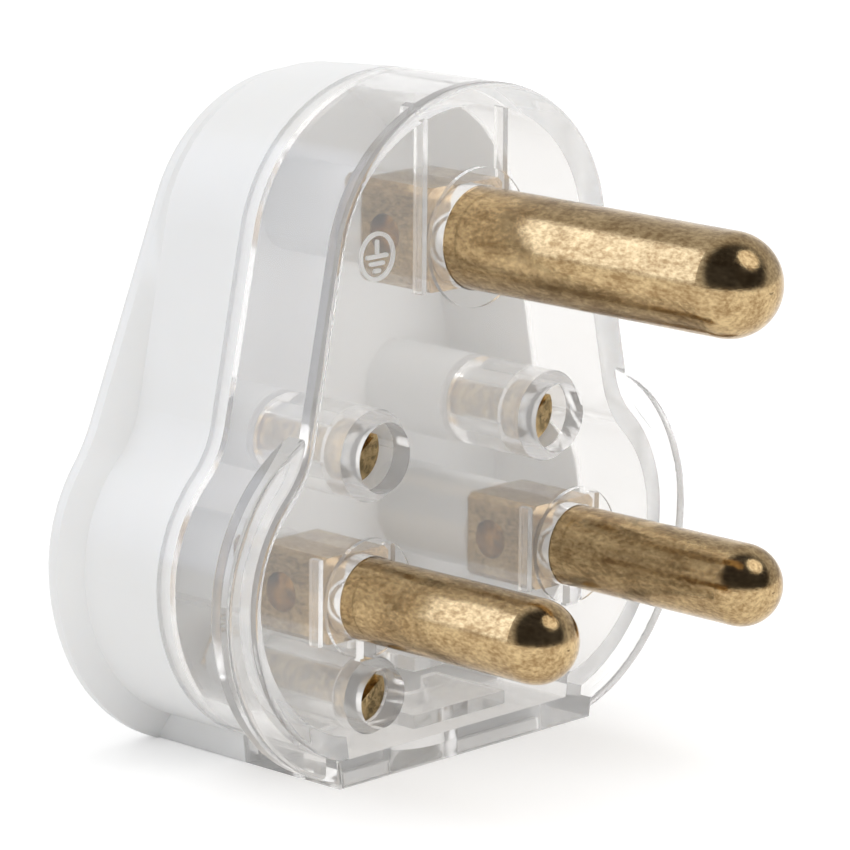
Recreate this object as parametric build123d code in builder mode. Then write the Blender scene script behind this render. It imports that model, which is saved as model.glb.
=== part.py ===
from build123d import *
import math
import os

# Round-pin plug top for hand wiring, in millimetres.
# X runs across the plug, Y runs from the pin collars (Y = 0) back into the body, Z is up.
# The origin is on the axis of the earth pin, level with the fronts of the pin collars.

# Pins and their places
pin_spacing = 25.4
earth_rise = 28.6
base_rise = 16.0
earth_pin_diameter = 8.7
line_pin_diameter = 7.05
earth_pin_reach = 31.5
line_pin_reach = 22.0
pin_bore_clearance = 0.08
pin_neck_undercut = 0.4
earth_head_size = 8.8
line_head_size = 7.4
head_length = 7.7
head_corner_bevel = 0.5
wire_hole_diameter = 3.4
wire_hole_setback = 5.0

# Depths of the body
collar_height = 0.4
collar_rim = 1.55
face_thickness = 2.4
flange_setback = 0.5
flange_thickness = 2.3
parting_depth = 11.9
total_depth = 24.2
back_thickness = 3.4
lip_thickness = 1.8
lip_flare_length = 1.8

# Outline of the body, seen from the pins
crown_half_width = 16.4
crown_height = 14.2
crown_centre_drop = 1.3
side_spread = 6.0
hollow_radius = 7.5
lobe_centre_x = 13.2
lobe_centre_rise = 0.8
lobe_radius = 12.5
belly_radius = 15.2
foot_half_width = 15.7
foot_lean = 0.3
wall_thickness = 2.0
front_edge_round = 0.45

# Grip flange on each lower lobe of the front body
flange_radius = 14.9
flange_belly_radius = 16.8
flange_edge_round = 0.4

# Lip at the back of the rear cover, fuller at the neck and lower at the crown
lip_crown_half_width = 15.6
lip_crown_height = 14.0
lip_crown_drop = 1.1
lip_side_spread = 12.0
lip_hollow_radius = 14.0
lip_lobe_radius = 14.0
lip_belly_radius = 18.0
lip_edge_round = 1.3
crease_crown_drop = 0.6

# Tongue and rebate where the two shells meet
tongue_height = 1.0
tongue_thickness = 1.0
tongue_clearance = 0.1

# Screws in the pin face: the upper pair holds the rear cover, the lower pair the cord clamp
screw_offset_x = 10.7
cover_screw_rise = 11.5
clamp_screw_rise = -9.0
cover_well_diameter = 6.0
cover_well_depth = 5.6
cover_head_diameter = 5.2
clamp_well_diameter = 5.2
clamp_well_depth = 4.6
clamp_head_diameter = 4.9
head_thickness = 2.0
slot_width = 0.8
slot_depth = 0.9
slot_turn = 35.0
shank_diameter = 2.9
shank_hole_diameter = 3.3
pillar_diameter = 7.8
insert_diameter = 4.6
insert_length = 5.0
insert_clearance = 0.05
cover_screw_tip_gap = 0.3
thread_clearance = 0.05

# Terminal screws, driven into the backs of the pins
terminal_screw_diameter = 3.4
terminal_screw_head_diameter = 4.8
terminal_screw_head_thickness = 1.6
terminal_screw_gap = 0.4
terminal_screw_length = 2.6

# Cord entry and cord clamp
cord_bore_diameter = 8.6
saddle_bore_length = 12.0
clamp_pillar_diameter = 6.6
clamp_bar_depth = 14.6
clamp_bar_thickness = 2.8
clamp_bar_margin = 3.4
clamp_bar_height = 5.8
clamp_ridge_radius = 1.0
clamp_ridge_half_length = 5.0
nut_width = 5.5
nut_thickness = 2.2
nut_pocket_depth = 1.4
nut_clearance = 0.1
clamp_screw_tip_gap = 0.1
saddle_bore_diameter = 7.6
saddle_half_width = 5.6
saddle_rib_thickness = 1.2
saddle_rib_rises = (3.6, 8.6)
saddle_setback = 1.0

# Ribs beside the terminal heads, stops behind them, and notches under the small pins
cheek_thickness = 0.6
cheek_height = 1.0
cheek_clearance = 0.15
stop_inner_diameter = 5.8
stop_wall = 1.1
stop_clearance = 0.1
notch_width = 1.5
notch_height = 1.3
notch_overlap = 1.0

# Places worked out from the dimensions above
face_depth = collar_height
inner_face_depth = face_depth + face_thickness
head_start = inner_face_depth
head_end = head_start + head_length
wire_hole_depth = head_start + wire_hole_setback
cavity_end = total_depth - back_thickness
lip_depth = total_depth - lip_thickness
crease_depth = lip_depth - lip_flare_length
crown_centre_rise = earth_rise - crown_centre_drop
lip_crown_centre_rise = crown_centre_rise - lip_crown_drop
side_lean = side_spread / earth_rise
lip_side_lean = lip_side_spread / earth_rise
clamp_bar_end = clamp_bar_depth + clamp_bar_thickness
nut_seat = clamp_bar_end - nut_pocket_depth
nut_end = nut_seat + nut_thickness
cover_screw_end = parting_depth + insert_length - cover_screw_tip_gap
clamp_screw_end = nut_end - clamp_screw_tip_gap
line_x = pin_spacing / 2
line_z = -earth_rise
foot_z = line_z - base_rise
cover_screw_z = line_z + cover_screw_rise
clamp_screw_z = line_z + clamp_screw_rise
earth_place = [(0, 0)]
small_pin_places = [(-line_x, line_z), (line_x, line_z)]
cover_screw_places = [(-screw_offset_x, cover_screw_z), (screw_offset_x, cover_screw_z)]
clamp_screw_places = [(-screw_offset_x, clamp_screw_z), (screw_offset_x, clamp_screw_z)]


def at_depth(depth):
    """Sketch plane facing the pins, at a distance behind the collar fronts."""
    return Plane.XZ.offset(-depth)


def outline_points(inset, crown_x, crown_z, crown_centre, lean, hollow, lobe, belly):
    """Tangent points of the right half of a body outline, drawn inwards by the inset."""
    half_width = crown_x - inset
    height = crown_z - inset
    centre_z = line_z + crown_centre
    turn = math.atan(lean * height / half_width)
    start = Vector(half_width * math.cos(turn), centre_z + height * math.sin(turn))
    down = Vector(lean, -1).normalized()
    outward = Vector(1, lean).normalized()
    lobe_centre = Vector(lobe_centre_x, line_z + lobe_centre_rise)
    lobe_r = lobe - inset
    hollow_r = hollow + inset
    reach = start + outward * hollow_r - lobe_centre
    along = reach.dot(down)
    run = -along - math.sqrt(along ** 2 - reach.dot(reach) + (lobe_r + hollow_r) ** 2)
    side_end = start + down * run
    hollow_centre = side_end + outward * hollow_r
    to_hollow = (hollow_centre - lobe_centre) * (lobe_r / (lobe_r + hollow_r))
    lobe_start = lobe_centre + to_hollow
    lobe_side = Vector(lobe_centre.X + lobe_r, lobe_centre.Y)
    belly_r = belly - inset
    foot_x = foot_half_width - inset
    belly_centre_x = lobe_side.X - belly_r
    foot_z = lobe_side.Y - math.sqrt(belly_r ** 2 - (foot_x - belly_centre_x) ** 2)
    return turn, start, side_end, lobe_start, lobe_side, Vector(foot_x, foot_z)


def body_outline(
    inset=0.0,
    crown_x=crown_half_width,
    crown_z=crown_height,
    crown_centre=crown_centre_rise,
    lean=side_lean,
    hollow=hollow_radius,
    lobe=lobe_radius,
    belly=belly_radius,
    mode=Mode.ADD,
):
    """Draw a closed body outline in the open sketch: crown, necks, lobes and flat foot."""
    turn, start, side_end, lobe_start, lobe_side, foot_top = outline_points(
        inset, crown_x, crown_z, crown_centre, lean, hollow, lobe, belly
    )
    with BuildLine() as outline:
        EllipticalCenterArc(
            (0, line_z + crown_centre),
            crown_x - inset,
            crown_z - inset,
            start_angle=math.degrees(turn),
            arc_size=90 - math.degrees(turn),
        )
        side = Line(start, side_end)
        neck = TangentArc(side_end, lobe_start, tangent=side % 1)
        TangentArc(lobe_start, lobe_side, tangent=neck % 1)
        TangentArc(lobe_side, foot_top, tangent=(0, -1))
        foot_corner = (foot_half_width - inset - foot_lean, foot_z + inset)
        Polyline(foot_top, foot_corner, (0, foot_z + inset))
        mirror(about=Plane.YZ)
    make_face(outline.edges(), mode=mode)


def lip_outline():
    """Draw the outline of the lip at the back of the rear cover."""
    body_outline(
        0.0,
        lip_crown_half_width,
        lip_crown_height,
        lip_crown_centre_rise,
        lip_side_lean,
        lip_hollow_radius,
        lip_lobe_radius,
        lip_belly_radius,
    )


def flange_outline():
    """Draw the two rounded grip flanges, each running from the neck round to the foot."""
    centre_z = line_z + lobe_centre_rise
    outer_x = lobe_centre_x + flange_radius
    belly_centre_x = outer_x - flange_belly_radius
    foot_drop = math.sqrt(flange_belly_radius ** 2 - (foot_half_width - belly_centre_x) ** 2)
    top = (lobe_centre_x, centre_z + flange_radius)
    foot = (foot_half_width, centre_z - foot_drop)
    with BuildLine() as outline:
        TangentArc(top, (outer_x, centre_z), tangent=(1, 0))
        TangentArc((outer_x, centre_z), foot, tangent=(0, -1))
        Line(foot, top)
    make_face(outline.edges())
    mirror(about=Plane.YZ)


def circles(places, diameter):
    """Draw a circle at each place in the open sketch."""
    with Locations(*places):
        Circle(diameter / 2)


def round_holes(places, diameter):
    """Cut a circle at each place from the open sketch."""
    with Locations(*places):
        Circle(diameter / 2, mode=Mode.SUBTRACT)


def hexagons(places, width):
    """Draw a hexagon of the given width across flats at each place in the open sketch."""
    with Locations(*places):
        RegularPolygon(width / 2, 6, major_radius=False)


def cheek_offset(head_size):
    """Distance of a cheek rib's middle from the axis of the pin."""
    return head_size / 2 + cheek_clearance + cheek_thickness / 2


with BuildPart() as flanges:
    with BuildSketch(at_depth(face_depth + flange_setback + flange_thickness)):
        flange_outline()
    extrude(amount=flange_thickness)
    fillet(flanges.edges().filter_by(GeomType.CIRCLE), flange_edge_round)

with BuildPart() as front_body:
    with BuildSketch(at_depth(parting_depth)):
        body_outline()
    extrude(amount=parting_depth - face_depth)
    fillet(front_body.faces().sort_by(Axis.Y)[0].outer_wire().edges(), front_edge_round)
    add(flanges.part)
    with BuildSketch(at_depth(parting_depth)):
        body_outline(inset=wall_thickness)
    extrude(amount=parting_depth - inner_face_depth, mode=Mode.SUBTRACT)

    # Rebate for the tongue of the rear cover, on the inner side of the wall
    with BuildSketch(at_depth(parting_depth)):
        body_outline(inset=wall_thickness - tongue_thickness - tongue_clearance)
        body_outline(inset=wall_thickness, mode=Mode.SUBTRACT)
    extrude(amount=tongue_height + tongue_clearance, mode=Mode.SUBTRACT)

    # Collars in front of the face
    with BuildSketch(at_depth(face_depth)):
        circles(earth_place, earth_pin_diameter + 2 * collar_rim)
        circles(small_pin_places, line_pin_diameter + 2 * collar_rim)
    extrude(amount=collar_height)

    # Cheek ribs that keep the terminal heads from turning; the earth pair runs up to the crown
    crown_inside = line_z + crown_centre_rise + crown_height - wall_thickness
    cheek_drop = earth_head_size / 2
    cheek_run = crown_inside + cheek_drop
    with BuildSketch(at_depth(inner_face_depth + cheek_height)):
        for side in (-1, 1):
            with Locations((side * cheek_offset(earth_head_size), cheek_run / 2 - cheek_drop)):
                Rectangle(cheek_thickness, cheek_run)
            for x, z in small_pin_places:
                with Locations((x + side * cheek_offset(line_head_size), z)):
                    Rectangle(cheek_thickness, line_head_size)
    extrude(amount=cheek_height)

    # Screw pillars: the upper pair ends at the parting plane, the lower pair carries the clamp bar
    with BuildSketch(at_depth(parting_depth)):
        circles(cover_screw_places, pillar_diameter)
    extrude(amount=parting_depth - inner_face_depth)
    with BuildSketch(at_depth(clamp_bar_depth)):
        circles(clamp_screw_places, clamp_pillar_diameter)
    extrude(amount=clamp_bar_depth - inner_face_depth)

    # Cord saddle: two ribs across the cord, hollowed by the cord entry below
    saddle_depth = parting_depth - saddle_setback
    with BuildSketch(at_depth(saddle_depth)):
        with Locations(*[(0, foot_z + rise) for rise in saddle_rib_rises]):
            Rectangle(2 * saddle_half_width, saddle_rib_thickness)
    extrude(amount=saddle_depth - inner_face_depth)
    with BuildSketch(Plane.XY.offset(foot_z)):
        circles([(0, parting_depth)], saddle_bore_diameter)
    extrude(amount=saddle_bore_length, mode=Mode.SUBTRACT)

    # Bores for the pins, with a notch under each of the small ones
    with BuildSketch(at_depth(head_start)):
        circles(earth_place, earth_pin_diameter + 2 * pin_bore_clearance)
        circles(small_pin_places, line_pin_diameter + 2 * pin_bore_clearance)
    extrude(amount=head_start, mode=Mode.SUBTRACT)
    notch_z = line_z - line_pin_diameter / 2 - notch_height / 2
    notch_depth = collar_height + face_thickness / 2
    with BuildSketch(at_depth(notch_depth)):
        with Locations((-line_x, notch_z), (line_x, notch_z)):
            Rectangle(notch_width, notch_height + notch_overlap)
    extrude(amount=notch_depth, mode=Mode.SUBTRACT)

    # Wells for the screws, and the cord entry
    with BuildSketch(at_depth(cover_well_depth)):
        circles(cover_screw_places, cover_well_diameter)
    extrude(amount=cover_well_depth, mode=Mode.SUBTRACT)
    with BuildSketch(at_depth(clamp_well_depth)):
        circles(clamp_screw_places, clamp_well_diameter)
    extrude(amount=clamp_well_depth, mode=Mode.SUBTRACT)
    with BuildSketch(at_depth(clamp_bar_depth)):
        circles(cover_screw_places + clamp_screw_places, shank_hole_diameter)
    extrude(amount=clamp_bar_depth - clamp_well_depth, mode=Mode.SUBTRACT)
    with BuildSketch(Plane.XY.offset(foot_z)):
        circles([(0, parting_depth)], cord_bore_diameter)
    extrude(amount=wall_thickness, mode=Mode.SUBTRACT)

with BuildPart() as rear_cover:
    with BuildSketch(at_depth(parting_depth)):
        body_outline()
    with BuildSketch(at_depth(crease_depth)):
        body_outline(crown_z=crown_height - crease_crown_drop)
    with BuildSketch(at_depth(lip_depth)):
        lip_outline()
    loft(ruled=True)
    with BuildSketch(at_depth(total_depth)):
        lip_outline()
    extrude(amount=total_depth - lip_depth)
    fillet(rear_cover.faces().sort_by(Axis.Y)[-1].outer_wire().edges(), lip_edge_round)
    with BuildSketch(at_depth(cavity_end)):
        body_outline(inset=wall_thickness)
    extrude(amount=cavity_end - parting_depth, mode=Mode.SUBTRACT)

    # Tongue that enters the rebate of the front body
    with BuildSketch(at_depth(parting_depth)):
        body_outline(inset=wall_thickness - tongue_thickness)
        body_outline(inset=wall_thickness, mode=Mode.SUBTRACT)
    extrude(amount=tongue_height)

    # Pillars with pockets for the threaded inserts, and stops behind the terminal heads
    with BuildSketch(at_depth(cavity_end)):
        circles(cover_screw_places, pillar_diameter)
    extrude(amount=cavity_end - parting_depth)
    with BuildSketch(at_depth(cavity_end)):
        circles(earth_place + small_pin_places, stop_inner_diameter + 2 * stop_wall)
    extrude(amount=cavity_end - head_end - stop_clearance)
    with BuildSketch(at_depth(cavity_end)):
        circles(earth_place + small_pin_places, stop_inner_diameter)
    extrude(amount=cavity_end - head_end, mode=Mode.SUBTRACT)
    with BuildSketch(at_depth(parting_depth + insert_length + insert_clearance)):
        circles(cover_screw_places, insert_diameter + 2 * insert_clearance)
    extrude(amount=insert_length + insert_clearance, mode=Mode.SUBTRACT)
    with BuildSketch(Plane.XY.offset(foot_z)):
        circles([(0, parting_depth)], cord_bore_diameter)
    extrude(amount=wall_thickness, mode=Mode.SUBTRACT)


def make_pin(x, z, diameter, reach, head_size):
    """Turned brass pin with a domed tip in front and a square terminal head behind."""
    radius = diameter / 2
    with BuildPart() as pin:
        with BuildSketch(Plane.XY.offset(z)):
            with BuildLine():
                Polyline(
                    (x, head_start),
                    (x + radius - pin_neck_undercut, head_start),
                    (x + radius - pin_neck_undercut, 0),
                    (x + radius, 0),
                    (x + radius, radius - reach),
                )
                TangentArc((x + radius, radius - reach), (x, -reach), tangent=(0, -1))
                Line((x, -reach), (x, head_start))
            make_face()
        revolve(axis=Axis((x, 0, z), (0, 1, 0)))
        with BuildSketch(at_depth(head_end)):
            with Locations((x, z)):
                square = Rectangle(head_size, head_size)
            chamfer(square.vertices(), head_corner_bevel)
        extrude(amount=head_end - head_start)
        with BuildSketch(Plane.YZ.offset(x)):
            circles([(wire_hole_depth, z)], wire_hole_diameter)
        extrude(amount=head_size, both=True, mode=Mode.SUBTRACT)
        with BuildSketch(at_depth(head_end)):
            circles([(x, z)], terminal_screw_diameter + 2 * thread_clearance)
        extrude(amount=head_end - wire_hole_depth, mode=Mode.SUBTRACT)
    return pin.part


def make_screw(x, z, head_depth, head_width, head_length, shank_width, tip_depth):
    """Slotted screw along Y, with the top of its head at head_depth and its tip at tip_depth."""
    way_in = math.copysign(1, tip_depth - head_depth)
    seat_depth = head_depth + way_in * head_length
    with BuildPart() as screw:
        with BuildSketch(at_depth(seat_depth)):
            circles([(x, z)], head_width)
        extrude(amount=way_in * head_length)
        with BuildSketch(at_depth(seat_depth)):
            circles([(x, z)], shank_width)
        extrude(amount=seat_depth - tip_depth)
        with BuildSketch(at_depth(head_depth)):
            with Locations((x, z)):
                Rectangle(2 * head_width, slot_width, rotation=slot_turn)
        extrude(amount=-way_in * slot_depth, mode=Mode.SUBTRACT)
    return screw.part


def make_cover_screw(place):
    """Screw sunk in an upper well, through the front body into an insert of the rear cover."""
    x, z = place
    return make_screw(
        x,
        z,
        cover_well_depth - head_thickness,
        cover_head_diameter,
        head_thickness,
        shank_diameter,
        cover_screw_end,
    )


def make_clamp_screw(place):
    """Screw sunk in a lower well, through the clamp bar into its nut."""
    x, z = place
    return make_screw(
        x,
        z,
        clamp_well_depth - head_thickness,
        clamp_head_diameter,
        head_thickness,
        shank_diameter,
        clamp_screw_end,
    )


def make_terminal_screw(x, z):
    """Screw driven from behind into a terminal head."""
    seat = head_end + terminal_screw_gap
    head_top = seat + terminal_screw_head_thickness
    return make_screw(
        x,
        z,
        head_top,
        terminal_screw_head_diameter,
        terminal_screw_head_thickness,
        terminal_screw_diameter,
        seat - terminal_screw_length,
    )


def make_insert(place):
    """Threaded brass sleeve in the front end of a rear cover pillar."""
    with BuildPart() as insert:
        with BuildSketch(at_depth(parting_depth + insert_length)):
            circles([place], insert_diameter)
            round_holes([place], shank_diameter + 2 * thread_clearance)
        extrude(amount=insert_length - insert_clearance)
    return insert.part


def make_nut(place):
    """Hexagonal brass nut seated in the back of the clamp bar."""
    with BuildPart() as nut:
        with BuildSketch(at_depth(nut_end)):
            hexagons([place], nut_width)
            round_holes([place], shank_diameter + 2 * thread_clearance)
        extrude(amount=nut_thickness)
    return nut.part


with BuildPart() as cord_clamp:
    with BuildSketch(at_depth(clamp_bar_end)):
        with Locations((0, clamp_screw_z)):
            SlotOverall(2 * (screw_offset_x + clamp_bar_margin), clamp_bar_height)
        round_holes(clamp_screw_places, shank_hole_diameter)
    extrude(amount=clamp_bar_thickness)
    with BuildSketch(Plane.YZ):
        circles([(clamp_bar_depth, clamp_screw_z)], 2 * clamp_ridge_radius)
    extrude(amount=clamp_ridge_half_length, both=True)
    with BuildSketch(at_depth(clamp_bar_end)):
        hexagons(clamp_screw_places, nut_width + 2 * nut_clearance)
    extrude(amount=nut_pocket_depth, mode=Mode.SUBTRACT)

pieces = {
    "front_body": front_body.part,
    "rear_cover": rear_cover.part,
    "cord_clamp": cord_clamp.part,
    "earth_pin": make_pin(0, 0, earth_pin_diameter, earth_pin_reach, earth_head_size),
    "earth_terminal_screw": make_terminal_screw(0, 0),
}
for side, number in (("left", 0), ("right", 1)):
    pieces["cover_screw_" + side] = make_cover_screw(cover_screw_places[number])
    pieces["clamp_screw_" + side] = make_clamp_screw(clamp_screw_places[number])
    pieces["cover_insert_" + side] = make_insert(cover_screw_places[number])
    pieces["clamp_nut_" + side] = make_nut(clamp_screw_places[number])
for wire, x in (("line", -line_x), ("neutral", line_x)):
    pin = make_pin(x, line_z, line_pin_diameter, line_pin_reach, line_head_size)
    pieces[wire + "_pin"] = pin
    pieces[wire + "_terminal_screw"] = make_terminal_screw(x, line_z)

os.makedirs("parts", exist_ok=True)
for name, piece in pieces.items():
    piece.label = name
    export_step(piece, "parts/" + name + ".step")
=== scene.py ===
import bmesh
import bpy
import math
from bpy.props import FloatProperty, FloatVectorProperty, PointerProperty
from bpy.types import Operator, Panel, PropertyGroup
from mathutils import Matrix, Vector


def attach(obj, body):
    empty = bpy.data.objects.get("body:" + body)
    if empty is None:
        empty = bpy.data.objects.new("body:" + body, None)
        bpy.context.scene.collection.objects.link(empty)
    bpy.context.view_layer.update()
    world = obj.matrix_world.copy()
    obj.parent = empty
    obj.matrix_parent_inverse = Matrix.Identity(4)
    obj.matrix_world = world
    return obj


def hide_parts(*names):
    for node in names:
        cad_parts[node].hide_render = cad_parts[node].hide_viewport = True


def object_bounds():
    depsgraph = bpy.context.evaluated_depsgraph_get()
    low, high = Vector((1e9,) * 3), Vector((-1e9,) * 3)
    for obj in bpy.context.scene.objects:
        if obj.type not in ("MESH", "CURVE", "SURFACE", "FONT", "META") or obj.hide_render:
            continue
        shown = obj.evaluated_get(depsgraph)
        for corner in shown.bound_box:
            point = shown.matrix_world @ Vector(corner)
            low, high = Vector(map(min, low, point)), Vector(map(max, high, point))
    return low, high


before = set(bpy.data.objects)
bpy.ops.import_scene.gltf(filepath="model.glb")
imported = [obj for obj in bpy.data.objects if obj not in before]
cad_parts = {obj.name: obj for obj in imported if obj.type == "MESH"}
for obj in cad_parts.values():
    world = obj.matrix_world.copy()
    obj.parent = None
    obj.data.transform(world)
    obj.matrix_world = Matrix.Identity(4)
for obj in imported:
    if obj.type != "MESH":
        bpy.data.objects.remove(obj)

bl_info = {
    "name": "Round-pin Plug Top",
    "version": (1, 0, 0),
    "blender": (4, 5, 0),
    "location": "View3D > Sidebar > Plug Top",
    "description": "Dresses a clear round-pin plug top and sets its studio stage",
    "category": "Object",
}

# Metres in a millimetre
MM = 0.001
LOWEST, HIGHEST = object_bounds()
PIN_NODES = ("earth_pin", "line_pin", "neutral_pin")
TERMINAL_SCREW_NODES = ("earth_terminal_screw", "line_terminal_screw", "neutral_terminal_screw")
SIDES = ("left", "right")
# Depths behind the fronts of the pin collars: the terminal heads' fronts, the gap left there, and
# the end of a pin's full width inside its bore
HEAD_START = 2.8 * MM
HEAD_GAP = 0.06 * MM
NECK_END = 2.6 * MM
# How far off a depth a vertex may be and still count as standing at it
DEPTH_TOLERANCE = 0.01 * MM
# Parts of the earth sign, as shares of its diameter, and the pitch of its bars, in line widths
STEM_TOP_SHARE = 0.34
BAR_SHARES = (0.62, 0.42, 0.2)
BAR_PITCH = 1.75
RING_STEPS = 64
# Gap between the plug and the floor, and the glow that lifts the floor to white for the eye
FLOOR_GAP = 0.05 * MM
FLOOR_LIFT = 0.3
# The one lamp: its place and width in metres, and its power in watts
LAMP_PLACE = (0.11, -0.3, 0.42)
LAMP_WIDTH = 0.38
LAMP_POWER = 0.5
WHITE = (1.0, 1.0, 1.0)
SOFTBOX_COLOUR = (2.1, 2.3, 2.75)


class PlugBodySettings(PropertyGroup):
    """Finish of the clear front body."""

    tint: FloatVectorProperty(
        name="Tint",
        description="Colour that the clear plastic gives to what is seen through it",
        subtype="COLOR",
        size=3,
        default=(0.994, 0.986, 0.977),
        min=0.0,
        max=1.0,
    )
    index: FloatProperty(
        name="Refractive Index",
        description="How strongly the clear plastic bends light",
        default=1.45,
        min=1.0,
        max=2.0,
    )
    clarity: FloatProperty(
        name="Clarity",
        description="Share of the light that the plastic lets through: the rest makes it milky",
        default=0.87,
        min=0.0,
        max=1.0,
    )
    ripple: FloatProperty(
        name="Ripple",
        description="Height of the slow waves that moulding leaves in the surface",
        default=0.03 * MM,
        min=0.0,
        unit="LENGTH",
    )


class PlugCoverSettings(PropertyGroup):
    """Finish of the white rear cover and of the cord clamp inside."""

    colour: FloatVectorProperty(
        name="Colour",
        description="Colour of the white cover",
        subtype="COLOR",
        size=3,
        default=(0.86, 0.86, 0.855),
        min=0.0,
        max=1.0,
    )
    clamp_colour: FloatVectorProperty(
        name="Clamp Colour",
        description="Colour of the cord clamp bar",
        subtype="COLOR",
        size=3,
        default=(0.78, 0.78, 0.76),
        min=0.0,
        max=1.0,
    )


class PlugBrassSettings(PropertyGroup):
    """Finish of the brass pins and screws."""

    bright: FloatVectorProperty(
        name="Bright Brass",
        description="Colour of the brass where it is rubbed clean",
        subtype="COLOR",
        size=3,
        default=(0.62, 0.455, 0.243),
        min=0.0,
        max=1.0,
    )
    tarnished: FloatVectorProperty(
        name="Tarnished Brass",
        description="Colour of the brass in its darker mottles",
        subtype="COLOR",
        size=3,
        default=(0.31, 0.198, 0.09),
        min=0.0,
        max=1.0,
    )
    screw: FloatVectorProperty(
        name="Screw Brass",
        description="Main colour of the screws",
        subtype="COLOR",
        size=3,
        default=(0.78, 0.57, 0.29),
        min=0.0,
        max=1.0,
    )
    mottle_size: FloatProperty(
        name="Mottle Size",
        description="Width of a mottle on the pins",
        default=1.5 * MM,
        min=0.1 * MM,
        unit="LENGTH",
    )


class PlugSignSettings(PropertyGroup):
    """Earth sign raised on the front face, beside the earth pin."""

    diameter: FloatProperty(
        name="Diameter",
        description="Outer diameter of the ring round the sign",
        default=4.1 * MM,
        min=1.0 * MM,
        unit="LENGTH",
    )
    line: FloatProperty(
        name="Line Width",
        description="Width of the sign's lines",
        default=0.34 * MM,
        min=0.1 * MM,
        unit="LENGTH",
    )
    height: FloatProperty(
        name="Height",
        description="How far the sign stands out of the face",
        default=0.2 * MM,
        min=0.05 * MM,
        unit="LENGTH",
    )
    side: FloatProperty(
        name="Side",
        description="How far the sign is to the left of the earth pin's axis",
        default=11.9 * MM,
        min=0.0,
        unit="LENGTH",
    )


class PlugStageSettings(PropertyGroup):
    """Camera, floor and light."""

    azimuth: FloatProperty(
        name="Azimuth",
        description="Direction that the camera looks from, round the upright axis",
        default=math.radians(-46.551),
        subtype="ANGLE",
    )
    elevation: FloatProperty(
        name="Elevation",
        description="Height of the camera above the horizon, as an angle",
        default=math.radians(13.026),
        subtype="ANGLE",
    )
    roll: FloatProperty(
        name="Roll",
        description="Turn of the camera about its line of sight",
        default=math.radians(0.523),
        subtype="ANGLE",
    )
    distance: FloatProperty(
        name="Distance",
        description="Distance of the camera from the point it looks at",
        default=430.0 * MM,
        unit="LENGTH",
    )
    target: FloatVectorProperty(
        name="Target",
        description="Point that the camera looks at",
        size=3,
        default=(-6.36 * MM, 0.0, -14.913 * MM),
        subtype="TRANSLATION",
        unit="LENGTH",
    )
    lens: FloatProperty(
        name="Lens",
        description="Focal length of the lens on a sensor 36 mm wide",
        default=220.26,
        min=1.0,
    )
    floor_size: FloatProperty(
        name="Floor Size",
        description="Width of the floor",
        default=6.0,
        unit="LENGTH",
    )
    floor_colour: FloatVectorProperty(
        name="Floor Colour",
        description="Colour of the pale floor",
        subtype="COLOR",
        size=3,
        default=(0.86, 0.86, 0.86),
        min=0.0,
        max=1.0,
    )
    light: FloatProperty(
        name="Light",
        description="Strength of the studio's light",
        default=1.0,
        min=0.0,
    )
    softbox_aim: FloatVectorProperty(
        name="Softbox Direction",
        description="Direction of the softbox that the brass mirrors, behind and above on the left",
        size=3,
        default=(-0.56, 0.67, 0.48),
        subtype="DIRECTION",
    )
    shade_aim: FloatVectorProperty(
        name="Shade Direction",
        description="Direction of the dark side that the brass mirrors, in front and above",
        size=3,
        default=(-0.45, -0.65, 0.6),
        subtype="DIRECTION",
    )
    backdrop_aim: FloatVectorProperty(
        name="Backdrop Direction",
        description="Direction of the middle of the white backdrop that the brass mirrors",
        size=3,
        default=(0.71, 0.67, -0.05),
        subtype="DIRECTION",
    )


def new_material(name):
    """Node material with one Principled shader: returns the material, its tree and the shader."""
    material = bpy.data.materials.new(name)
    material.use_nodes = True
    shader = material.node_tree.nodes["Principled BSDF"]
    return material, material.node_tree, shader


def add_node(tree, kind, label, inputs=None, **settings):
    """Node of a kind, with its settings and the values or links of its inputs."""
    node = tree.nodes.new(kind)
    node.label = label
    for key, value in settings.items():
        setattr(node, key, value)
    for key, value in (inputs or {}).items():
        if isinstance(value, bpy.types.NodeSocket):
            tree.links.new(value, node.inputs[key])
        else:
            node.inputs[key].default_value = value
    return node


def stretched_place(tree, label, stretch=(1.0, 1.0, 1.0)):
    """Place on the object, in metres, with each axis multiplied by the stretch."""
    place = add_node(tree, "ShaderNodeTexCoord", label)
    return add_node(
        tree,
        "ShaderNodeMapping",
        label,
        {"Vector": place.outputs["Object"], "Scale": stretch},
    ).outputs["Vector"]


def noise(tree, label, vector, size, detail=4.0, roughness=0.5):
    """Cloudy noise whose features are about the given size across."""
    return add_node(
        tree,
        "ShaderNodeTexNoise",
        label,
        {"Vector": vector, "Scale": 1.0 / size, "Detail": detail, "Roughness": roughness},
    ).outputs["Fac"]


def ramp(tree, label, factor, stops):
    """Colour ramp with the given places and colours."""
    node = add_node(tree, "ShaderNodeValToRGB", label, {"Fac": factor})
    elements = node.color_ramp.elements
    while len(elements) < len(stops):
        elements.new(1.0)
    for element, (place, colour) in zip(elements, stops):
        element.position = place
        element.color = (*colour, 1.0)
    return node.outputs["Color"]


def value_range(tree, label, factor, low, high, from_low=0.0, from_high=1.0):
    """Factor mapped from one range of values to another."""
    return add_node(
        tree,
        "ShaderNodeMapRange",
        label,
        {
            "Value": factor,
            "From Min": from_low,
            "From Max": from_high,
            "To Min": low,
            "To Max": high,
        },
    ).outputs["Result"]


def share_between(tree, label, value, start, end):
    """0 up to the start, 1 from the end on, and a straight rise between them."""
    return value_range(tree, label, value, 0.0, 1.0, start, end)


def math_node(tree, label, operation, first, second):
    """Output of a Math node with two inputs."""
    return add_node(
        tree, "ShaderNodeMath", label, {0: first, 1: second}, operation=operation
    ).outputs[0]


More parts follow.
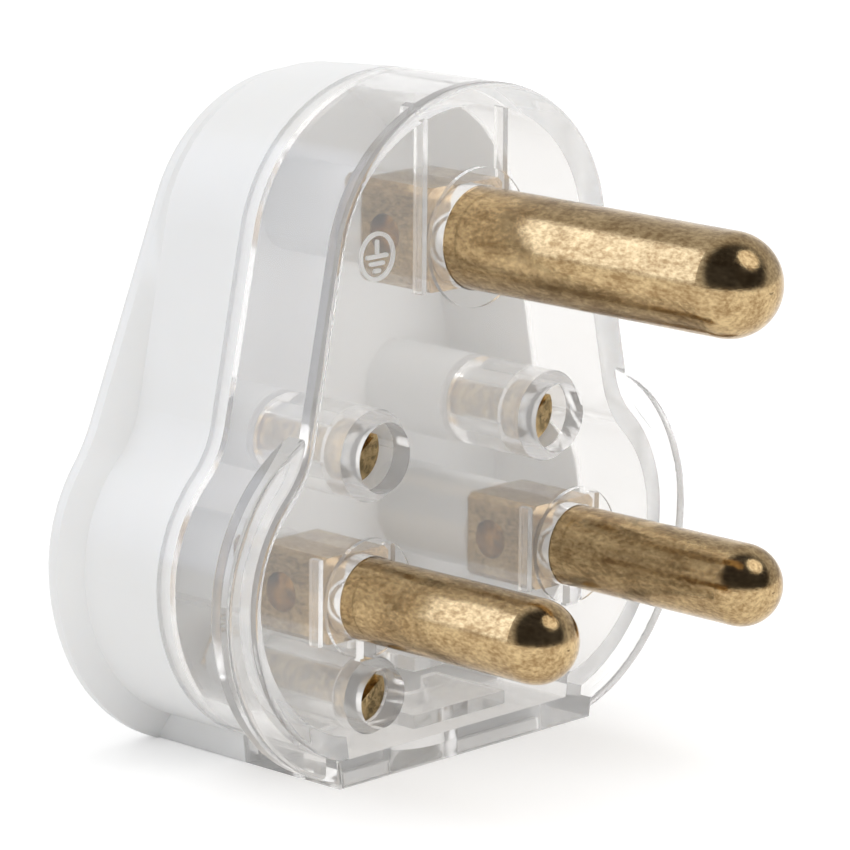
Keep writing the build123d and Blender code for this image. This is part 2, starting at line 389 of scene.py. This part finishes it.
def colour_mix(tree, label, factor, first, second):
    """Two colours mixed by a factor."""
    return add_node(
        tree,
        "ShaderNodeMix",
        label,
        {"Factor": factor, "A": first, "B": second},
        data_type="RGBA",
    ).outputs["Result"]


def bump(tree, label, height, distance, normal=None):
    """Bump from a height, which may follow another bump."""
    inputs = {"Height": height, "Distance": distance, "Strength": 1.0}
    if normal is not None:
        inputs["Normal"] = normal
    return add_node(tree, "ShaderNodeBump", label, inputs).outputs["Normal"]


def clear_plastic(settings):
    """Clear moulded polycarbonate: slow ripples, and a faint haze of fine wear."""
    material, tree, shader = new_material("clear polycarbonate")
    shader.inputs["Base Color"].default_value = (*settings.tint, 1.0)
    shader.inputs["Transmission Weight"].default_value = settings.clarity
    shader.inputs["IOR"].default_value = settings.index
    place = stretched_place(tree, "Body")
    wear = noise(tree, "Haze", place, 2.5 * MM, 6.0, 0.7)
    tree.links.new(
        value_range(tree, "Polish", wear, 0.02, 0.12, 0.35, 0.75), shader.inputs["Roughness"]
    )
    waves = noise(tree, "Moulding ripple", place, 7.0 * MM, 2.0)
    rippled = bump(tree, "Ripple", waves, settings.ripple)
    tree.links.new(rippled, shader.inputs["Normal"])
    let_light_in(tree, shader)
    return material


def let_light_in(tree, shader):
    """Let lamps and soft light pass straight through a clear wall, onto what it shuts in."""
    path = add_node(tree, "ShaderNodeLightPath", "Light path")
    passing = math_node(
        tree,
        "Light passing through",
        "MAXIMUM",
        path.outputs["Is Shadow Ray"],
        path.outputs["Is Diffuse Ray"],
    )
    open_way = add_node(tree, "ShaderNodeBsdfTransparent", "Open way")
    wall = add_node(
        tree,
        "ShaderNodeMixShader",
        "Clear wall",
        {0: passing, 1: shader.outputs[0], 2: open_way.outputs[0]},
    )
    tree.links.new(wall.outputs[0], tree.nodes["Material Output"].inputs["Surface"])


def frosted_plastic():
    """Frosted face of the lines raised on the clear body."""
    material, tree, shader = new_material("frosted polycarbonate")
    shader.inputs["Base Color"].default_value = (0.95, 0.95, 0.94, 1.0)
    shader.inputs["Transmission Weight"].default_value = 0.6
    frost = noise(tree, "Frost", stretched_place(tree, "Sign"), 0.3 * MM, 3.0)
    tree.links.new(value_range(tree, "Frosting", frost, 0.3, 0.6), shader.inputs["Roughness"])
    return material


def white_plastic(name, colour):
    """White moulded plastic: even colour, slightly uneven gloss and a fine grain."""
    material, tree, shader = new_material(name)
    place = stretched_place(tree, "Cover")
    clouds = noise(tree, "Tone clouds", place, 12.0 * MM, 3.0)
    darker = tuple(0.97 * part for part in colour)
    tree.links.new(
        ramp(tree, "Tone", clouds, [(0.3, darker), (0.7, colour)]), shader.inputs["Base Color"]
    )
    smears = noise(tree, "Gloss clouds", place, 5.0 * MM, 5.0, 0.6)
    tree.links.new(value_range(tree, "Gloss", smears, 0.28, 0.44), shader.inputs["Roughness"])
    grain = noise(tree, "Grain", place, 0.35 * MM, 2.0)
    tree.links.new(bump(tree, "Grain height", grain, 0.004 * MM), shader.inputs["Normal"])
    shader.inputs["Subsurface Weight"].default_value = 0.25
    shader.inputs["Subsurface Radius"].default_value = (2.0, 1.8, 1.6)
    shader.inputs["Subsurface Scale"].default_value = 1.0 * MM
    return material


def pin_brass(settings):
    """Solid brass of the pins: mottled with old handling marks, lightly brushed along the pin."""
    material, tree, shader = new_material("mottled pin brass")
    shader.inputs["Metallic"].default_value = 1.0
    place = stretched_place(tree, "Pin", (1.0, 0.5, 1.0))
    mottle = noise(tree, "Mottle", place, settings.mottle_size, 3.0, 0.5)
    grain = noise(tree, "Grain", place, 0.3 * MM, 3.0, 0.6)
    tarnish = add_node(
        tree, "ShaderNodeMix", "Tarnish", {"Factor": 0.6, "A": mottle, "B": grain}
    )
    tree.links.new(
        ramp(
            tree,
            "Brass tones",
            tarnish.outputs["Result"],
            [(0.38, tuple(settings.tarnished)), (0.62, tuple(settings.bright))],
        ),
        shader.inputs["Base Color"],
    )
    blotches = noise(tree, "Dull blotches", place, 1.1 * MM, 6.0, 0.7)
    tree.links.new(
        value_range(tree, "Dullness", blotches, 0.12, 0.22, 0.3, 0.7), shader.inputs["Roughness"]
    )
    lengthwise = stretched_place(tree, "Scratch direction", (1.0, 0.06, 1.0))
    scratches = noise(tree, "Scratches", lengthwise, 0.4 * MM, 5.0, 0.7)
    brushed = bump(tree, "Scratch height", scratches, 0.006 * MM)
    tree.links.new(bump(tree, "Grain height", grain, 0.009 * MM, brushed), shader.inputs["Normal"])
    return material


def screw_brass(settings):
    """Turned brass of the small screws, nuts and inserts."""
    material, tree, shader = new_material("turned screw brass")
    shader.inputs["Metallic"].default_value = 1.0
    place = stretched_place(tree, "Screw")
    grime = noise(tree, "Grime", place, 0.9 * MM, 6.0, 0.7)
    dark = tuple(0.4 * part for part in settings.screw)
    tree.links.new(
        ramp(tree, "Screw tones", grime, [(0.42, dark), (0.56, tuple(settings.screw))]),
        shader.inputs["Base Color"],
    )
    tree.links.new(value_range(tree, "Wear", grime, 0.32, 0.16), shader.inputs["Roughness"])
    marks = noise(tree, "Tool marks", place, 0.25 * MM, 4.0, 0.6)
    tree.links.new(bump(tree, "Mark height", marks, 0.03 * MM), shader.inputs["Normal"])
    return material


def give_material(material, *names):
    """Put a material in every slot of the named CAD nodes."""
    for name in names:
        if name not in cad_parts:
            raise RuntimeError("the frame has no node named " + name)
        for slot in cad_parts[name].material_slots:
            slot.material = material


def add_piece(name, mesh, material):
    """Object of the plug itself, fixed to its one body."""
    piece = bpy.data.objects.new(name, mesh)
    bpy.context.scene.collection.objects.link(piece)
    mesh.materials.append(material)
    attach(piece, "root")
    return piece


def add_full_pin(name, material):
    """Pin at full width along its bore, with its head a hair behind the clear front wall."""
    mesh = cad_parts[name].data.copy()
    for vert in mesh.vertices:
        if abs(vert.co.y) < DEPTH_TOLERANCE:
            vert.co.y = NECK_END
        elif abs(vert.co.y - HEAD_START) < DEPTH_TOLERANCE:
            vert.co.y = HEAD_START + HEAD_GAP
    mesh.materials.clear()
    piece = add_piece(name + "_full", mesh, material)
    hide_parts(name)


def add_bar(shape, centre, width, height):
    """Flat bar with round ends, facing -Y, in a bmesh of the sign."""
    steps = 8
    radius = min(width, height) / 2
    corners = []
    for number in range(4):
        quarter = number * math.pi / 2
        sign_x = 1 if number in (0, 3) else -1
        sign_z = 1 if number in (0, 1) else -1
        for step in range(steps + 1):
            angle = quarter + step * math.pi / 2 / steps
            x = sign_x * (width / 2 - radius) + radius * math.cos(angle)
            z = sign_z * (height / 2 - radius) + radius * math.sin(angle)
            corners.append(shape.verts.new((centre[0] + x, 0.0, centre[1] + z)))
    bmesh.ops.remove_doubles(shape, verts=corners, dist=1e-7)
    edge = [vert for vert in corners if vert.is_valid]
    shape.faces.new(edge)


def earth_sign_mesh(settings):
    """Ring with the earth sign in it: a stem over three bars, each shorter than the one above."""
    shape = bmesh.new()
    outer = settings.diameter / 2
    inner = outer - settings.line
    rings = []
    for radius in (outer, inner):
        ring = []
        for step in range(RING_STEPS):
            angle = step * math.tau / RING_STEPS
            ring.append(shape.verts.new((radius * math.cos(angle), 0.0, radius * math.sin(angle))))
        rings.append(ring)
    for step in range(RING_STEPS):
        after = (step + 1) % RING_STEPS
        shape.faces.new((rings[0][step], rings[0][after], rings[1][after], rings[1][step]))
    stem_top, stem_foot = STEM_TOP_SHARE * settings.diameter, settings.line / 2
    add_bar(shape, (0.0, (stem_top + stem_foot) / 2), settings.line, stem_top - stem_foot)
    for number, share in enumerate(BAR_SHARES):
        drop = -number * BAR_PITCH * settings.line
        add_bar(shape, (0.0, drop), share * settings.diameter, settings.line)
    mesh = bpy.data.meshes.new("earth_sign")
    shape.to_mesh(mesh)
    shape.free()
    return mesh


class PLUG_OT_clear_body(Operator):
    """Give the front body its clear polycarbonate"""

    bl_idname = "plug.clear_body"
    bl_label = "Clear Front Body"

    def execute(self, context):
        give_material(clear_plastic(context.scene.plug_body), "front_body")
        return {"FINISHED"}


class PLUG_OT_rear_cover(Operator):
    """Give the rear cover and the cord clamp their white plastic"""

    bl_idname = "plug.rear_cover"
    bl_label = "White Rear Cover"

    def execute(self, context):
        settings = context.scene.plug_cover
        give_material(white_plastic("white cover plastic", tuple(settings.colour)), "rear_cover")
        clamp = white_plastic("clamp plastic", tuple(settings.clamp_colour))
        give_material(clamp, "cord_clamp")
        return {"FINISHED"}


class PLUG_OT_brass_pins(Operator):
    """Give the pins their mottled brass"""

    bl_idname = "plug.brass_pins"
    bl_label = "Brass Pins"

    def execute(self, context):
        brass = pin_brass(context.scene.plug_brass)
        for name in PIN_NODES:
            add_full_pin(name, brass)
        return {"FINISHED"}


class PLUG_OT_screws(Operator):
    """Give the screws, inserts and nuts their turned brass"""

    bl_idname = "plug.screws"
    bl_label = "Brass Screws"

    def execute(self, context):
        brass = screw_brass(context.scene.plug_brass)
        give_material(brass, *TERMINAL_SCREW_NODES)
        for side in SIDES:
            give_material(
                brass,
                "cover_screw_" + side,
                "clamp_screw_" + side,
                "cover_insert_" + side,
                "clamp_nut_" + side,
            )
        return {"FINISHED"}


class PLUG_OT_earth_sign(Operator):
    """Raise the earth sign on the front face, beside the earth pin"""

    bl_idname = "plug.earth_sign"
    bl_label = "Earth Sign"

    def execute(self, context):
        settings = context.scene.plug_sign
        piece = add_piece(
            "earth_sign", earth_sign_mesh(settings), frosted_plastic()
        )
        piece.location = (-settings.side, front_face_depth() - settings.height, 0.0)
        solid = piece.modifiers.new("Thickness", "SOLIDIFY")
        solid.thickness = settings.height
        solid.offset = -1.0
        return {"FINISHED"}


def front_face_depth():
    """Y of the front face of the clear body, behind the fronts of the pin collars."""
    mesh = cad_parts["front_body"].data
    facing = [face for face in mesh.polygons if face.normal.y < -0.999]
    areas = {}
    for face in facing:
        depth = round(face.center.y, 5)
        areas[depth] = areas.get(depth, 0.0) + face.area
    return max(areas, key=areas.get)


def seen_by_eye(tree, label, mirrored=1.0):
    """1 for what the camera sees, straight, mirrored or through something clear, else 0."""
    path = add_node(tree, "ShaderNodeLightPath", label)
    clear = math_node(
        tree,
        label + " through clear",
        "MAXIMUM",
        path.outputs["Is Camera Ray"],
        path.outputs["Is Transmission Ray"],
    )
    in_metal = math_node(
        tree, label + " in metal", "MULTIPLY", path.outputs["Is Glossy Ray"], mirrored
    )
    return math_node(tree, label, "MAXIMUM", clear, in_metal)


def floor_material(settings):
    """Pale floor that keeps the shadow, with a glow for the eye that lifts it to white."""
    material, tree, shader = new_material("pale floor")
    output = tree.nodes["Material Output"]
    tree.nodes.remove(shader)
    place = stretched_place(tree, "Floor")
    clouds = noise(tree, "Floor clouds", place, 0.4, 3.0)
    colour = tuple(settings.floor_colour)
    fainter = tuple(0.985 * part for part in colour)
    tone = ramp(tree, "Floor tone", clouds, [(0.35, fainter), (0.65, colour)])
    paper = add_node(tree, "ShaderNodeBsdfDiffuse", "Paper", {"Color": tone})
    lift = math_node(tree, "Lift", "MULTIPLY", seen_by_eye(tree, "Eye"), FLOOR_LIFT)
    glow = add_node(tree, "ShaderNodeEmission", "Glow", {"Strength": lift})
    both = add_node(
        tree, "ShaderNodeAddShader", "Floor", {0: paper.outputs[0], 1: glow.outputs[0]}
    )
    tree.links.new(both.outputs[0], output.inputs["Surface"])
    return material


def nearness(tree, label, place, aim):
    """Cosine of the angle between a direction of the world and an aim."""
    return add_node(
        tree,
        "ShaderNodeVectorMath",
        label,
        {0: place.outputs["Generated"], 1: Vector(aim).normalized()},
        operation="DOT_PRODUCT",
    ).outputs["Value"]


def mirrored_walls(tree, settings, place, depth):
    """What metal mirrors away from the backdrop: dim walls, a dark side and a softbox."""
    walls = ramp(
        tree,
        "Dark side of the studio",
        nearness(tree, "Dark side", place, settings.shade_aim),
        [(0.2, (0.62, 0.62, 0.63)), (0.5, (0.05, 0.05, 0.055))],
    )
    aim = nearness(tree, "Aim", place, settings.softbox_aim)
    softbox = math_node(
        tree,
        "Softbox",
        "MULTIPLY",
        share_between(tree, "Softbox width", aim, 0.86, 0.92),
        share_between(tree, "Softbox front edge", depth, 0.57, 0.63),
    )
    return colour_mix(
        tree, "Softbox over dark walls", softbox, walls, (*SOFTBOX_COLOUR, 1.0)
    )


def studio_world(settings):
    """White backdrop for the eye, a soft ceiling for the light, and a softbox for the brass."""
    world = bpy.data.worlds.new("studio")
    world.use_nodes = True
    tree = world.node_tree
    place = add_node(tree, "ShaderNodeTexCoord", "Direction")
    apart = add_node(
        tree, "ShaderNodeSeparateXYZ", "Height", {"Vector": place.outputs["Generated"]}
    )
    walls = ramp(
        tree,
        "Studio walls",
        apart.outputs["Z"],
        [
            (0.0, WHITE),
            (0.12, WHITE),
            (0.24, (0.74, 0.74, 0.74)),
            (0.52, (0.74, 0.74, 0.74)),
            (0.62, (1.05, 1.05, 1.05)),
        ],
    )
    mirrored = mirrored_walls(tree, settings, place, apart.outputs["Y"])
    path = add_node(tree, "ShaderNodeLightPath", "Kind of ray")
    around = colour_mix(
        tree, "What metal mirrors", path.outputs["Is Glossy Ray"], walls, mirrored
    )
    near_backdrop = nearness(tree, "Backdrop", place, settings.backdrop_aim)
    backdrop = share_between(tree, "Backdrop edge", near_backdrop, 0.84, 0.96)
    shown = colour_mix(
        tree, "White backdrop", seen_by_eye(tree, "Eye", backdrop), around, (*WHITE, 1.0)
    )
    sky = tree.nodes["Background"]
    tree.links.new(shown, sky.inputs["Color"])
    sky.inputs["Strength"].default_value = settings.light
    bpy.context.scene.world = world


def add_lamp(name, place, target, width, power):
    """Round soft lamp, aimed at a point."""
    data = bpy.data.lights.new(name, "AREA")
    data.shape = "DISK"
    data.size = width
    data.energy = power
    lamp = bpy.data.objects.new(name, data)
    lamp.location = place
    lamp.rotation_mode = "QUATERNION"
    lamp.rotation_quaternion = (Vector(target) - Vector(place)).to_track_quat("-Z", "Y")
    bpy.context.scene.collection.objects.link(lamp)


def add_camera(settings):
    """Camera at the angle the object is shown from."""
    sine, cosine = math.sin(settings.elevation), math.cos(settings.elevation)
    back = Vector(
        (math.sin(settings.azimuth) * cosine, -math.cos(settings.azimuth) * cosine, sine)
    )
    level = Vector((math.cos(settings.azimuth), math.sin(settings.azimuth), 0.0))
    upright = back.cross(level)
    right = math.cos(settings.roll) * level + math.sin(settings.roll) * upright
    up = back.cross(right)
    data = bpy.data.cameras.new("camera")
    data.sensor_width = 36.0
    data.lens = settings.lens
    data.clip_start = 0.01
    data.clip_end = 20.0
    camera = bpy.data.objects.new("camera", data)
    turn = Matrix((right, up, back)).transposed().to_4x4()
    camera.matrix_world = Matrix.Translation(
        Vector(settings.target) + back * settings.distance
    ) @ turn
    bpy.context.scene.collection.objects.link(camera)
    bpy.context.scene.camera = camera


class PLUG_OT_stage(Operator):
    """Set up the camera, the pale floor and the studio light"""

    bl_idname = "plug.stage"
    bl_label = "Studio Stage"

    def execute(self, context):
        settings = context.scene.plug_stage
        add_camera(settings)
        half = settings.floor_size / 2
        floor_z = LOWEST.z - FLOOR_GAP
        mesh = bpy.data.meshes.new("floor")
        corners = [(-half, -half), (half, -half), (half, half), (-half, half)]
        mesh.from_pydata([(x, y, floor_z) for x, y in corners], [], [(0, 1, 2, 3)])
        mesh.materials.append(floor_material(settings))
        floor = bpy.data.objects.new("floor", mesh)
        context.scene.collection.objects.link(floor)
        studio_world(settings)
        middle = (LOWEST + HIGHEST) / 2
        add_lamp("key_lamp", LAMP_PLACE, middle, LAMP_WIDTH, LAMP_POWER * settings.light)
        context.scene.view_settings.view_transform = "Standard"
        return {"FINISHED"}


class PLUG_PT_panel(Panel):
    """Lists the plug top's settings and the steps that dress it"""

    bl_idname = "PLUG_PT_panel"
    bl_label = "Plug Top"
    bl_space_type = "VIEW_3D"
    bl_region_type = "UI"
    bl_category = "Plug Top"

    def draw(self, context):
        layout = self.layout
        for settings_name, operator in STEPS:
            box = layout.box()
            settings = getattr(context.scene, settings_name)
            for key in settings.__annotations__:
                box.prop(settings, key)
            box.operator(operator.bl_idname)


STEPS = (
    ("plug_stage", PLUG_OT_stage),
    ("plug_body", PLUG_OT_clear_body),
    ("plug_cover", PLUG_OT_rear_cover),
    ("plug_brass", PLUG_OT_brass_pins),
    ("plug_brass", PLUG_OT_screws),
    ("plug_sign", PLUG_OT_earth_sign),
)
SETTINGS = {
    "plug_stage": PlugStageSettings,
    "plug_body": PlugBodySettings,
    "plug_cover": PlugCoverSettings,
    "plug_brass": PlugBrassSettings,
    "plug_sign": PlugSignSettings,
}
CLASSES = (*SETTINGS.values(), *(operator for _, operator in STEPS), PLUG_PT_panel)


def register():
    for item in CLASSES:
        bpy.utils.register_class(item)
    for name, group in SETTINGS.items():
        setattr(bpy.types.Scene, name, PointerProperty(type=group))


def unregister():
    for name in SETTINGS:
        delattr(bpy.types.Scene, name)
    for item in reversed(CLASSES):
        bpy.utils.unregister_class(item)


def main():
    """Register the add-on and dress the plug."""
    register()
    for _, operator in STEPS:
        category, name = operator.bl_idname.split(".")
        getattr(getattr(bpy.ops, category), name)()


if __name__ == "__main__":
    main()
